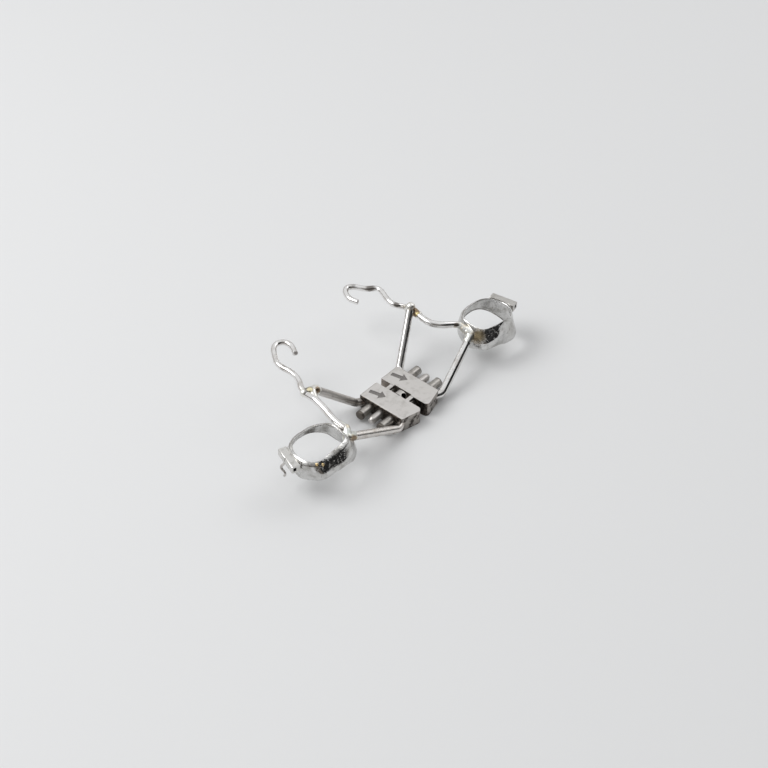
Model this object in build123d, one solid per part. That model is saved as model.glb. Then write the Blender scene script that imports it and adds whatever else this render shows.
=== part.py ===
from build123d import *
import math
import os

os.makedirs("parts", exist_ok=True)

# Tooth-borne palatal expander: a screw in two halves, four arms, two palatal wires that
# end in hooks, and two molar bands with buccal tubes. Lengths are in millimetres.
# The origin is where the key holes cross in the screw's drum. +X goes along the screw to
# the patient's left, +Y to the front of the mouth and +Z to the biting edges of the teeth.

RIGHT = -1
LEFT = 1
FRONT = 1
REAR = -1

# Driving sizes of the screw
housing_width = 4.5
housing_height = 2.9
closed_gap = 1.35
pin_diameter = 1.7
pin_length = 16.3
spindle_diameter = 1.5
spindle_recess = 0.25
drum_width = 1.465
key_hole_diameter = 1.0
key_hole_count = 2
key_hole_angle = 38
arm_diameter = 1.5

# Fits and clearances of the screw
running_clearance = 0.05
drum_flush = 0.05
drum_side_clearance = 0.075
drum_pin_gap = 0.1
pocket_clearance = 0.48
lug_end_clearance = 0.05
arm_wall = 0.15
front_skin = 0.05
joint_gap = 0.1

# Shaping of the housings, the pins and the spindle
top_round = 0.25
bottom_round = 0.4
front_chamfer = 0.27
inner_front_round = 0.3
inner_rear_round = 0.75
outer_corner_round = 0.45
rear_corner = 0.52
rear_slant = 1.15
lug_width = 0.74
lug_floor = 0.1
pin_chamfer = 0.15
drum_chamfer = 0.12
spindle_tip_diameter = 1.0
spindle_tip_length = 0.5

# The engraved arrows, which point to the back of the mouth
arrow_length = 3.2
arrow_shaft_width = 0.8
arrow_head_width = 2.0
arrow_head_length = 1.2
arrow_depth = 0.06
arrow_angle = 12.5
arrow_front_margin = 0.75
right_arrow_margin = 1.95
left_arrow_margin = 2.4

# The arms' roots
arm_socket_inset = 0.65
arm_reach = 1.6
arm_bend = 1.6
front_arm_angle = 30
rear_arm_angle = 24

# The arch that the bands and the wires follow
arch_half_width = 22.7
hook_reach = 20.0
hook_level = 7.1
wire_diameter = 1.05

# The molar bands
right_band_across = 10.1
left_band_across = 9.1
band_along = 7.6
right_band_setback = 0.67
left_band_setback = 1.3
band_angles = {RIGHT: 0, LEFT: -10}
band_sheet = 0.2
rim_level = 6.2
shoulder_level = 5.4
belly_level = 4.2
neck_level = 1.9
shoulder_flare = 0.55
belly_flare = 0.8
neck_flare = 0.8
scallop_radius = 13.0
scallop_rise = 1.3
scallop_tilt_angle = -12

# The buccal tubes with their pads and hooks
tube_length = 4.9
tube_height = 1.5
tube_depth = 1.2
tube_level = 5.3
tube_angle = 20
tube_round = 0.25
slot_height = 0.71
slot_depth = 0.56
groove_width = 0.35
groove_depth = 0.15
pad_thickness = 0.2
pad_length = 4.2
pad_height = 2.3
hook_wire_diameter = 0.45
hook_drop = 3.4
hook_sway = 0.55

# The solder joints
front_solder_diameter = 2.2
band_solder_diameter = 1.9
band_solder_overlap = 0.5
seam_turn = (90, 0, 0)

# One overrun for every cut
overrun = 2.0

# What follows from the sizes above
half_height = housing_height / 2
drum_radius = half_height - drum_flush
pin_radius = pin_diameter / 2
pin_bore_radius = pin_radius + running_clearance
pin_offset = drum_radius + drum_pin_gap + pin_radius
spindle_radius = spindle_diameter / 2
spindle_bore_radius = spindle_radius + running_clearance
arm_radius = arm_diameter / 2
wire_radius = wire_diameter / 2
arm_root = pin_offset + pin_bore_radius + arm_wall + arm_radius
housing_front = arm_root + arm_radius + front_skin
housing_rear_outer = arm_root + rear_corner
housing_rear_inner = housing_rear_outer + rear_slant
pocket_half = drum_radius + pocket_clearance
right_inner = drum_width / 2 + drum_side_clearance
left_inner = closed_gap - right_inner
inner_wall = {RIGHT: right_inner, LEFT: left_inner}
screw_middle = (left_inner - right_inner) / 2
spindle_length = pin_length - 2 * spindle_recess
arrow_margins = {RIGHT: right_arrow_margin, LEFT: left_arrow_margin}
band_across = {RIGHT: right_band_across, LEFT: left_band_across}
band_forward = {RIGHT: -right_band_setback, LEFT: -left_band_setback}

# A band's rim, as shares of its half sizes: towards the palate, then to the front. Then
# how much of the shoulder, belly and neck flare the wall takes at that place.
band_shares = [
    ((-0.60, 0.88), (0.3, 0.2, 0.1)),
    ((-0.20, 1.00), (0.6, 0.5, 0.3)),
    ((0.27, 0.94), (0.8, 0.7, 0.4)),
    ((0.62, 0.78), (1.0, 0.9, 0.6)),
    ((0.92, 0.50), (1.0, 1.0, 0.9)),
    ((1.00, 0.05), (1.0, 1.1, 1.1)),
    ((0.95, -0.52), (1.0, 1.4, 1.9)),
    ((0.78, -0.85), (1.1, 1.6, 2.2)),
    ((0.33, -0.97), (1.0, 1.2, 1.0)),
    ((-0.22, -0.98), (0.9, 0.8, 0.5)),
    ((-0.62, -0.95), (0.7, 0.6, 0.2)),
    ((-0.91, -0.62), (0.5, 0.5, 0.2)),
    ((-1.00, -0.15), (0.4, 0.4, 0.3)),
    ((-0.89, 0.44), (0.3, 0.2, 0.1)),
]

# The part of each run of a wire that a bend may take
bend_share = 0.49

# The wires from the hook's tip to the band, as shares of the arch's half width, the
# hook's reach and the hook's level
wire_shares = {
    RIGHT: [
        (0.414, 0.813, 1.0),
        (0.374, 0.875, 1.0),
        (0.358, 0.950, 1.0),
        (0.381, 1.003, 1.0),
        (0.427, 1.023, 1.0),
        (0.478, 1.003, 1.0),
        (0.522, 0.950, 1.0),
        (0.562, 0.892, 1.0),
        (0.593, 0.835, 1.0),
        (0.599, 0.765, 1.0),
        (0.591, 0.700, 1.0),
        (0.600, 0.610, 1.0),
        (0.630, 0.538, 1.0),
        (0.672, 0.480, 1.0),
        (0.691, 0.420, 0.965),
        (0.683, 0.360, 0.930),
        (0.676, 0.300, 0.901),
        (0.694, 0.200, 0.873),
        (0.718, 0.100, 0.850),
    ],
    LEFT: [
        (0.377, 0.863, 1.0),
        (0.364, 0.920, 1.0),
        (0.370, 0.980, 1.0),
        (0.404, 1.044, 1.0),
        (0.447, 1.075, 1.0),
        (0.489, 1.057, 1.0),
        (0.516, 1.007, 1.0),
        (0.531, 0.965, 1.0),
        (0.558, 0.918, 1.0),
        (0.597, 0.884, 1.0),
        (0.617, 0.843, 1.0),
        (0.601, 0.785, 1.0),
        (0.567, 0.712, 1.0),
        (0.550, 0.650, 1.0),
        (0.546, 0.602, 0.995),
        (0.562, 0.566, 0.975),
        (0.597, 0.536, 0.930),
        (0.617, 0.495, 0.901),
        (0.615, 0.438, 0.901),
        (0.604, 0.375, 0.901),
        (0.594, 0.310, 0.903),
        (0.588, 0.232, 0.898),
        (0.610, 0.175, 0.880),
        (0.653, 0.121, 0.859),
        (0.706, 0.080, 0.834),
    ],
}
# How far along the band's palatal wall a wire's last points lie, and at what level, as
# shares of the band's half length and of the rim's level
wire_end_shares = {
    RIGHT: [(0.28, 0.950), (-0.27, 0.915)],
    LEFT: [(0.50, 0.915)],
}
# The tips of the front arms, as shares of the same sizes as the wires
front_tip_shares = {RIGHT: (0.597, 0.388, 0.915), LEFT: (0.583, 0.443, 1.085)}
# The place on the wire that each front arm is soldered to
front_joint_index = {RIGHT: 14, LEFT: 17}
# The rear arms' ends on the bands
rear_tip_shares = {RIGHT: (-0.55, 0.765), LEFT: (-0.16, 0.750)}
# Where a tube's middle stands along its band
tube_forward_share = -0.2
# The tube hook's bends: along the tube, and down
hook_shares = [
    (0.0, 0.0),
    (0.0, 0.16),
    (0.7, 0.43),
    (0.5, 0.60),
    (-0.5, 0.76),
    (-1.0, 0.88),
    (-0.6, 1.0),
]


def rod_x(radius, x_from, x_to, y):
    """A round bar along X at the screw's level."""
    return Pos((x_from + x_to) / 2, y, 0) * Rot(0, 90, 0) * Cylinder(radius, x_to - x_from)


def block(x_pair, y_pair, z_pair):
    """A box between pairs of limits, given in any order."""
    pairs = [sorted(pair) for pair in (x_pair, y_pair, z_pair)]
    size = [high - low for low, high in pairs]
    middle = [(high + low) / 2 for low, high in pairs]
    return Pos(*middle) * Box(*size)


def bend_radii(points):
    """A radius for each bend of a route, as large as its two straight runs allow."""
    runs = [after - before for before, after in zip(points, points[1:])]
    radii = []
    for before, after in zip(runs, runs[1:]):
        half_turn = math.radians(before.get_angle(after)) / 2
        room = bend_share * min(before.length, after.length)
        radii.append(room / math.tan(half_turn))
    return radii


def round_rod(points, diameter, radius=None):
    """A round rod bent along a route, with one radius or the largest ones it allows."""
    path = FilletPolyline(*points, radius=radius or bend_radii(points))
    start = Plane(origin=path @ 0, z_dir=path % 0)
    return sweep(start * Circle(diameter / 2), path=path)


def outer_wall(side):
    """How far the lateral wall of a housing stands from the origin."""
    return inner_wall[side] + housing_width


def rounded_polygon(corners, radii):
    """A closed outline with its own rounding at each corner."""
    face = make_face(Polyline(*corners, close=True))
    for corner, radius in zip(corners, radii):
        spot = Vector(*corner)
        nearest = sorted(face.vertices(), key=lambda v: (Vector(v.X, v.Y) - spot).length)
        if radius:
            face = fillet(nearest[0], radius)
    return face


def housing_section(side):
    """The housing seen from the front: the lateral edges are rounded."""
    inner = side * inner_wall[side]
    outer = side * outer_wall(side)
    corners = [(inner, -half_height), (outer, -half_height), (outer, half_height), (inner, half_height)]
    return rounded_polygon(corners, [0, bottom_round, top_round, 0])


def housing_plan(side):
    """The housing seen from above: square in front, slanted behind."""
    inner = side * inner_wall[side]
    outer = side * outer_wall(side)
    corners = [
        (inner, housing_front),
        (outer, housing_front),
        (outer, -housing_rear_outer),
        (inner, -housing_rear_inner),
    ]
    radii = [inner_front_round, outer_corner_round, outer_corner_round, inner_rear_round]
    return rounded_polygon(corners, radii)


def housing_body(side):
    """The plain housing, where its front, top and side outlines meet."""
    depth = housing_front + housing_rear_inner + overrun
    end = Plane(origin=(0, -housing_rear_inner - overrun / 2, 0), x_dir=(-1, 0, 0), z_dir=(0, 1, 0))
    bar = extrude(end * mirror(housing_section(side), Plane.YZ), depth)
    prism = Pos(0, 0, -half_height - overrun / 2) * extrude(housing_plan(side), housing_height + overrun)
    reach = outer_wall(side) + overrun
    edge = block((-reach, reach), (-housing_rear_inner - overrun, housing_front), (-half_height, half_height))
    front_edges = edge.edges().filter_by(Axis.X).sort_by(Axis.Y)[-2:]
    return bar & prism & chamfer(front_edges, front_chamfer)


def arrow_recess(side):
    """The engraved arrow on a housing's top."""
    half_shaft = arrow_shaft_width / 2
    half_head = arrow_head_width / 2
    neck = arrow_length - arrow_head_length
    outline = Polyline(
        (-half_shaft, 0),
        (half_shaft, 0),
        (half_shaft, -neck),
        (half_head, -neck),
        (0, -arrow_length),
        (-half_head, -neck),
        (-half_shaft, -neck),
        close=True,
    )
    mark = Rot(0, 0, arrow_angle) * make_face(outline)
    out = outer_wall(side) - arrow_margins[side]
    place = Pos(side * out, housing_front - arrow_front_margin, half_height - arrow_depth)
    return place * extrude(mark, overrun)


def root_place(side, end):
    """Where an arm's root lies in its housing, and the way it leaves."""
    angle = math.radians(front_arm_angle if end == FRONT else rear_arm_angle)
    root = Vector(side * (outer_wall(side) - arm_socket_inset), end * arm_root, 0)
    way = Vector(side * math.cos(angle), end * math.sin(angle), 0)
    return root, way


def arm_socket(side, end):
    """The flat-bottomed socket that an arm's root fills."""
    root, way = root_place(side, end)
    length = arm_reach + overrun
    return Plane(origin=root, z_dir=way) * Pos(0, 0, length / 2) * Cylinder(arm_radius, length)


def drum_lugs():
    """The two flat lugs that reach over the gap on both sides of the drum."""
    low = pin_bore_radius + lug_floor
    x_pair = (-right_inner, left_inner - lug_end_clearance)
    lugs = []
    for end in (FRONT, REAR):
        y_pair = (end * pocket_half, end * (pocket_half + lug_width))
        lugs.append(block(x_pair, y_pair, (low, half_height)))
    return lugs


def make_housing(side):
    """One half of the screw's body, with its bores, arm sockets and arrow."""
    body = housing_body(side)
    reach = outer_wall(side) + overrun
    if side == RIGHT:
        for lug in drum_lugs():
            body += lug
    else:
        notch_end = half_height + overrun
        body -= block((0, right_inner), (-pocket_half, pocket_half), (-notch_end, notch_end))
    for y in (-pin_offset, pin_offset):
        body -= rod_x(pin_bore_radius, -reach, reach, y)
    body -= rod_x(spindle_bore_radius, -reach, reach, 0)
    for end in (FRONT, REAR):
        body -= arm_socket(side, end)
    return body - arrow_recess(side)


def make_pin(y):
    """A plain guide pin with chamfered ends."""
    pin = rod_x(pin_radius, screw_middle - pin_length / 2, screw_middle + pin_length / 2, y)
    return chamfer(pin.edges().filter_by(GeomType.CIRCLE), pin_chamfer)


def make_spindle():
    """The turning spindle: a drum with crossed key holes and a shank on each side."""
    right_end = screw_middle - spindle_length / 2
    left_end = screw_middle + spindle_length / 2
    half_drum = drum_width / 2
    outline = Polyline(
        (right_end, 0),
        (right_end, spindle_tip_diameter / 2),
        (right_end + spindle_tip_length, spindle_radius),
        (-half_drum, spindle_radius),
        (-half_drum, drum_radius - drum_chamfer),
        (drum_chamfer - half_drum, drum_radius),
        (half_drum - drum_chamfer, drum_radius),
        (half_drum, drum_radius - drum_chamfer),
        (half_drum, spindle_radius),
        (left_end - spindle_tip_length, spindle_radius),
        (left_end, spindle_tip_diameter / 2),
        (left_end, 0),
        close=True,
    )
    spindle = revolve(make_face(outline), Axis.X)
    for index in range(key_hole_count):
        angle = key_hole_angle + index * 180 / key_hole_count
        spindle -= Rot(angle, 0, 0) * Cylinder(key_hole_diameter / 2, 2 * drum_radius + overrun)
    return spindle


def band_place(side):
    """Where a band's own frame stands."""
    return Pos(side * arch_half_width, band_forward[side], 0) * Rot(0, 0, band_angles[side])


def rim_points(side):
    """The rim's points in the band's own frame."""
    half_across = band_across[side] / 2
    half_along = band_along / 2
    return [Vector(-side * u * half_across, v * half_along) for (u, v), _ in band_shares]


def outward(points, index):
    """The outward direction of an outline at one of its points."""
    after = points[(index + 1) % len(points)]
    before = points[index - 1]
    across = Vector(after.Y - before.Y, before.X - after.X).normalized()
    return across if across.dot(points[index]) > 0 else -across


def band_outline(side, column, flare, growth):
    """An outline of the band's wall: the rim's points moved out by their flare."""
    points = rim_points(side)
    outline = []
    for index, (_, shares) in enumerate(band_shares):
        step = growth + shares[column] * flare
        outline.append(points[index] + outward(points, index) * step)
    return outline


def band_form(side, growth=0.0):
    """The full form inside a band's wall, grown all round by the given amount."""
    levels = [
        (rim_level, band_outline(side, 0, 0, growth)),
        (shoulder_level, band_outline(side, 0, shoulder_flare, growth)),
        (belly_level, band_outline(side, 1, belly_flare, growth)),
        (neck_level, band_outline(side, 2, neck_flare, growth)),
    ]
    sections = []
    for level, outline in levels:
        loop = Spline(*[(p.X, p.Y, level) for p in outline], periodic=True)
        sections.append(make_face(loop))
    return band_place(side) * loft(sections)


def make_band(side):
    """A molar band: thin sheet, level at the rim and scalloped at the gum."""
    shell = band_form(side) - band_form(side, -band_sheet)
    centre = neck_level + scallop_rise - scallop_radius
    tilt = Rot(90 - scallop_tilt_angle, 0, 0)
    arch = Pos(0, 0, centre) * tilt * Cylinder(scallop_radius, band_along + 4 * overrun)
    return shell - band_place(side) * arch


def wall_out(side, forward):
    """How far out the band's palatal wall stands, at its shoulder, at a place along it."""
    place = band_place(side)
    points = []
    for p in band_outline(side, 0, shoulder_flare, 0):
        points.append((place * Pos(p.X, p.Y, 0)).position)
    hits = []
    for first, second in zip(points, points[1:] + points[:1]):
        if (first.Y - forward) * (second.Y - forward) < 0:
            share = (forward - first.Y) / (second.Y - first.Y)
            hits.append(abs(first.X + share * (second.X - first.X)))
    return min(hits)


def tube_frame(side):
    """A frame where a tube sits: +X along it to the front, +Z outwards from the band."""
    angle = math.radians(tube_angle)
    along = Vector(-side * math.sin(angle), math.cos(angle))
    out = Vector(side * math.cos(angle), math.sin(angle))
    seat = max(out.dot(p) for p in band_outline(side, 0, shoulder_flare, 0))
    middle = out * seat + along * (tube_forward_share * band_along / 2)
    frame = Plane(origin=(middle.X, middle.Y, tube_level), x_dir=along, z_dir=out)
    return band_place(side) * frame.location


def make_pad(side):
    """The pad under a tube, formed to the band's wall."""
    plate = Box(pad_length, pad_height, band_across[side])
    plate = fillet(plate.edges().filter_by(Axis.Z), tube_round)
    skin = band_form(side, pad_thickness) - band_form(side)
    return skin & (tube_frame(side) * plate)


def make_tube(side):
    """A buccal tube with its rectangular passage, seated on the pad."""
    reach = tube_depth + band_sheet + pad_thickness
    body = Box(tube_length, tube_height, reach)
    body = fillet(body.edges().filter_by(Axis.X), tube_round)
    body -= Pos(0, 0, (reach - tube_depth) / 2) * Box(tube_length + overrun, slot_height, slot_depth)
    body -= Pos(0, 0, reach / 2) * Box(groove_width, tube_height + overrun, 2 * groove_depth)
    body = tube_frame(side) * Pos(0, 0, reach / 2 - band_sheet) * body
    return body - band_form(side, pad_thickness)


def make_tube_hook(side):
    """The thin bent hook that hangs from a tube."""
    frame = tube_frame(side)
    start = (frame * Pos(0, 0, pad_thickness + tube_depth / 2)).position
    along = (frame * Pos(1, 0, 0)).position - frame.position
    top = start - Vector(0, 0, tube_height / 2)
    points = [top + along * (sway * hook_sway) - Vector(0, 0, drop * hook_drop) for sway, drop in hook_shares]
    return round_rod(points, hook_wire_diameter)


def wire_points(side):
    """A wire's route from the hook's tip to its end along the band."""
    points = []
    for out, forward, up in wire_shares[side]:
        points.append(Vector(side * out * arch_half_width, forward * hook_reach, up * hook_level))
    for along, level in wire_end_shares[side]:
        forward = band_forward[side] + along * band_along / 2
        out = wall_out(side, forward) - wire_radius - joint_gap
        points.append(Vector(side * out, forward, level * rim_level))
    return points


def make_wire(side, growth=0.0):
    """A palatal wire: a hook in front, a wave past the arm, its end along the band."""
    return round_rod(wire_points(side), wire_diameter + 2 * growth)


def arm_tip(side, end):
    """The far end of an arm's axis."""
    if end == FRONT:
        out, forward, up = front_tip_shares[side]
        return Vector(side * out * arch_half_width, forward * hook_reach, up * hook_level)
    along, level = rear_tip_shares[side]
    forward = band_forward[side] + along * band_along / 2
    return Vector(side * wall_out(side, forward), forward, level * rim_level)


def make_arm(side, end):
    """One arm of the screw: root, elbow and straight run up to its joint."""
    root, way = root_place(side, end)
    route = [root, root + way * arm_reach, arm_tip(side, end)]
    arm = round_rod(route, arm_diameter, arm_bend) - make_wire(side, joint_gap)
    if end == REAR:
        arm -= band_form(side, joint_gap)
    return arm


def bead(start, finish, diameter):
    """A round-ended bead between two points."""
    axis = finish - start
    shaft = Plane(origin=start, z_dir=axis) * Pos(0, 0, axis.length / 2) * Cylinder(diameter / 2, axis.length)
    ends = [Pos(*point) * Sphere(diameter / 2) for point in (start, finish)]
    return shaft + ends[0] + ends[1]


def make_front_solder(side, wire, arm):
    """The solder bead between a front arm and its wire."""
    joint = wire_points(side)[front_joint_index[side]]
    tip = arm_tip(side, FRONT)
    ball = Pos(*((joint + tip) * 0.5)) * Rot(*seam_turn) * Sphere(front_solder_diameter / 2)
    return ball - wire - arm


def make_band_solder(side, wire, arm):
    """The solder that joins a wire's end and a rear arm to a band."""
    wire_end = wire_points(side)[-1]
    arm_end = arm_tip(side, REAR)
    inward = Vector(-side * band_solder_overlap, 0, 0)
    lump = bead(wire_end + inward, arm_end + inward, band_solder_diameter)
    return lump - wire - arm - band_form(side)


def largest(shape):
    """The main solid of a cut shape, without loose slivers."""
    return max(shape.solids(), key=lambda solid: solid.volume)


def side_nodes(side, name):
    """Every piece of one half of the appliance, by node name."""
    wire = make_wire(side)
    front_arm = make_arm(side, FRONT)
    rear_arm = make_arm(side, REAR)
    return {
        name + "_housing": make_housing(side),
        name + "_front_arm": front_arm,
        name + "_rear_arm": rear_arm,
        name + "_palatal_wire": wire,
        name + "_molar_band": make_band(side),
        name + "_tube_base": make_pad(side),
        name + "_buccal_tube": make_tube(side),
        name + "_tube_hook": make_tube_hook(side),
        name + "_front_solder": make_front_solder(side, wire, front_arm),
        name + "_band_solder": make_band_solder(side, wire, rear_arm),
    }


nodes = {
    "spindle": make_spindle(),
    "front_guide_pin": make_pin(pin_offset),
    "rear_guide_pin": make_pin(-pin_offset),
}
nodes.update(side_nodes(RIGHT, "right"))
nodes.update(side_nodes(LEFT, "left"))

for node, shape in nodes.items():
    export_step(largest(shape), "parts/" + node + ".step")
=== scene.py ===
"""Dressed model of a palatal expander: its screw, arms, palatal wires, molar bands, tubes and solder."""
import logging
import math
from dataclasses import dataclass, field
from enum import Enum, IntEnum
from typing import Any, Callable, Sequence

import bmesh
import bpy
from mathutils import Matrix, Vector, noise


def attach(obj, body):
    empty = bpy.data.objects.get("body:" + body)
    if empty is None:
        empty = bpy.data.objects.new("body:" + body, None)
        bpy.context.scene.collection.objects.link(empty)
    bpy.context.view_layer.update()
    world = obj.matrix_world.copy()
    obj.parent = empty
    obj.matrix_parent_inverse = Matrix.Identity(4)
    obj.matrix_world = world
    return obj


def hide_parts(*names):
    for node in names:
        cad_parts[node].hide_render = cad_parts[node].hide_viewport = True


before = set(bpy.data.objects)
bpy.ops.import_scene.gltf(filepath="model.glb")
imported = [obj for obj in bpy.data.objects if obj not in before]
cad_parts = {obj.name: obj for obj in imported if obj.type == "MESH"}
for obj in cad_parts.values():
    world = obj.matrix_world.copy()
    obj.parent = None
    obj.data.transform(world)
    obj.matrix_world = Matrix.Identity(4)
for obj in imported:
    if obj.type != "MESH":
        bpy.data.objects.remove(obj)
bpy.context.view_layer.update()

LOG = logging.getLogger("palatal_expander")

MM = 0.001

Colour = tuple[float, float, float]
Place = tuple[float, float, float]
FaceRule = Callable[[Vector, Vector], int]


class Side(Enum):
    """The patient's two sides, with the sign of their X."""

    RIGHT = -1
    LEFT = 1

    @property
    def prefix(self) -> str:
        """The word that a side's nodes start with."""
        return self.name.lower()

    @property
    def body(self) -> str:
        """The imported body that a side's pieces ride on."""
        return self.prefix + "_half"


class End(Enum):
    """The front and the rear of the screw, with the sign of their Y."""

    FRONT = 1
    REAR = -1

    @property
    def word(self) -> str:
        """The word for an end in the names of its nodes."""
        return self.name.lower()


class Slot(Enum):
    """The record's material slots."""

    HOUSING = "housing_steel"
    PIN = "pin_steel"
    WIRE = "wire_steel"
    BAND = "band_steel"
    TUBE = "tube_steel"
    SOLDER = "solder"


# Shader expressions


@dataclass(frozen=True)
class Grain:
    """A pattern of noise: its features to a millimetre, its octaves and its stretch along the axes."""

    per_mm: float
    detail: float = 3.0
    stretch: tuple[float, float, float] = (1.0, 1.0, 1.0)
    roughness: float = 0.55


NOISE_MIDDLE = 0.5
STAIN_EDGE = Grain(5.0, 4.0)
STAIN_EDGE_SHARE = 0.9


class Signal:
    """A shader socket that takes part in arithmetic: each operator adds its Math node."""

    def __init__(self, recipe: "Recipe", socket: bpy.types.NodeSocket) -> None:
        """Wraps a socket of a recipe's node tree."""
        self.recipe = recipe
        self.socket = socket

    def math(self, operation: str, *others: Any) -> "Signal":
        """Applies a Math node to this signal and other signals or numbers."""
        values = dict(enumerate((self, *others)))
        return self.recipe.node("ShaderNodeMath", {"operation": operation}, values)

    def __add__(self, other: Any) -> "Signal":
        """Adds a signal or a number."""
        return self.math("ADD", other)

    def __sub__(self, other: Any) -> "Signal":
        """Takes away a signal or a number."""
        return self.math("SUBTRACT", other)

    def __mul__(self, other: Any) -> "Signal":
        """Multiplies by a signal or a number."""
        return self.math("MULTIPLY", other)

    def __rsub__(self, other: Any) -> "Signal":
        """Takes this signal away from a number."""
        return self.recipe.node("ShaderNodeMath", {"operation": "SUBTRACT"}, {0: other, 1: self})

    __radd__ = __add__
    __rmul__ = __mul__

    def sine(self) -> "Signal":
        """The sine of this signal in radians, between -0.5 and 0.5."""
        return self.math("SINE") * 0.5

    def between(self, low: float, high: float) -> "Signal":
        """A smooth step from 0 at the low value to 1 at the high one.

        Args:
            low: the value that gives 0.
            high: the value that gives 1; it may be the smaller one.

        Returns:
            The stepped signal.
        """
        if low > high:
            return 1 - self.between(high, low)
        settings = {"interpolation_type": "SMOOTHSTEP"}
        return self.recipe.node("ShaderNodeMapRange", settings, {"Value": self, 1: low, 2: high})


class Recipe:
    """The node tree of one material, made by a few calls."""

    def __init__(self, name: str) -> None:
        """Starts an empty node tree.

        Args:
            name: the material's name.
        """
        self.material = bpy.data.materials.new(name)
        self.material.use_nodes = True
        self.tree = self.material.node_tree
        self.tree.nodes.clear()

    @classmethod
    def of_tree(cls, tree: bpy.types.NodeTree) -> "Recipe":
        """A recipe on a world's node tree.

        Args:
            tree: the node tree, which is emptied.

        Returns:
            The recipe.
        """
        recipe = cls.__new__(cls)
        recipe.tree = tree
        tree.nodes.clear()
        return recipe

    def node(self, kind: str, settings: dict[str, Any], values: dict[Any, Any], output: Any = 0) -> Signal:
        """Adds a node.

        Args:
            kind: the node's type.
            settings: its properties, which are set first.
            values: the values or signals of its sockets, by name or number.
            output: the output to return, by name or number.

        Returns:
            The chosen output.
        """
        made = self.tree.nodes.new(kind)
        for key, setting in settings.items():
            setattr(made, key, setting)
        for key, value in values.items():
            if isinstance(value, Signal):
                self.tree.links.new(value.socket, made.inputs[key])
            else:
                made.inputs[key].default_value = value
        return Signal(self, made.outputs[output])

    def place(self, stretch: Sequence[float] = (1.0, 1.0, 1.0)) -> Signal:
        """The surface's place in millimetres.

        Args:
            stretch: how much each axis is stretched.

        Returns:
            The place as a vector.
        """
        raw = self.node("ShaderNodeTexCoord", {}, {}, "Object")
        scale = [share / MM for share in stretch]
        return self.node("ShaderNodeVectorMath", {"operation": "MULTIPLY"}, {0: raw, 1: scale})

    def parts(self, place: Signal) -> tuple[Signal, ...]:
        """The X, Y and Z of a place."""
        sockets = self.node("ShaderNodeSeparateXYZ", {}, {0: place}).socket.node.outputs
        return tuple(Signal(self, sockets[axis]) for axis in "XYZ")

    def grain(self, pattern: Grain, place: Signal | None = None) -> Signal:
        """Noise, about 0.5 in the middle.

        Args:
            pattern: the noise's pattern.
            place: where it is read, or none for the surface's place in millimetres.

        Returns:
            The noise.
        """
        values = {
            "Vector": self.place(pattern.stretch) if place is None else place,
            "Scale": pattern.per_mm,
            "Detail": pattern.detail,
            "Roughness": pattern.roughness,
        }
        return self.node("ShaderNodeTexNoise", {}, values, "Fac")

    def cells(self, per_mm: float) -> Signal:
        """The distance to the nearest of scattered points, for pits."""
        return self.node("ShaderNodeTexVoronoi", {}, {"Vector": self.place(), "Scale": per_mm}, "Distance")

    def distance(self, place: Signal, spot: Sequence[float]) -> Signal:
        """The distance in millimetres from a spot."""
        return self.node("ShaderNodeVectorMath", {"operation": "DISTANCE"}, {0: place, 1: spot}, "Value")

    def blend(self, share: Any, first: Any, second: Any) -> Signal:
        """A colour between two others: the share of the second one."""
        pair = [x if isinstance(x, Signal) else (*x, 1.0) for x in (first, second)]
        return self.node("ShaderNodeMix", {"data_type": "RGBA"}, {0: share, 6: pair[0], 7: pair[1]}, 2)

    def stained(self, colour: Any, stains: Sequence["Stain"], core_share: float = 0.4) -> tuple[Any, Any]:
        """Lays stains, and patches of painted shade, on a colour.

        Args:
            colour: the clean colour.
            stains: the stains, in the order in which they are laid.
            core_share: the share of a stain's reach that has its full strength.

        Returns:
            The stained colour, and how stained the surface is, from 0 to 1.
        """
        place = self.place()
        ragged = self.grain(STAIN_EDGE) - NOISE_MIDDLE
        total: Any = 0.0
        for stain in stains:
            near = self.distance(place, stain.spot) + ragged * (stain.reach * STAIN_EDGE_SHARE)
            mask = near.between(stain.reach, stain.reach * core_share) * stain.strength
            colour = self.blend(mask, colour, stain.colour)
            total = mask + total
        return colour, total

    def shader(self, height: Signal | None, **values: Any) -> bpy.types.Material:
        """Closes the recipe with a Principled surface.

        Args:
            height: a relief in millimetres, or none.
            values: the shader's sockets, with _ for a space in their names.

        Returns:
            The finished material.
        """
        sockets = {}
        for key, value in values.items():
            is_colour = isinstance(value, tuple)
            sockets[key.replace("_", " ")] = (*value, 1.0) if is_colour else value
        if height is not None:
            bump = {"Height": height, "Distance": MM, "Strength": 1.0}
            sockets["Normal"] = self.node("ShaderNodeBump", {}, bump)
        surface = self.node("ShaderNodeBsdfPrincipled", {}, sockets)
        output = self.tree.nodes.new("ShaderNodeOutputMaterial")
        self.tree.links.new(surface.socket, output.inputs["Surface"])
        return self.material

    def metal(self, height: Signal, colour: Any, roughness: Signal) -> bpy.types.Material:
        """Closes the recipe with a metal's surface."""
        return self.shader(height, Base_Color=colour, Roughness=roughness, Metallic=1.0)


# Finishes


@dataclass(frozen=True)
class Stain:
    """A round patch of colour on a metal: mostly heat and flux stains, and a few patches of painted shade
    and shadow.
    """

    spot: Place
    reach: float
    colour: Colour = (0.33, 0.22, 0.12)
    strength: float = 0.85


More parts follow.
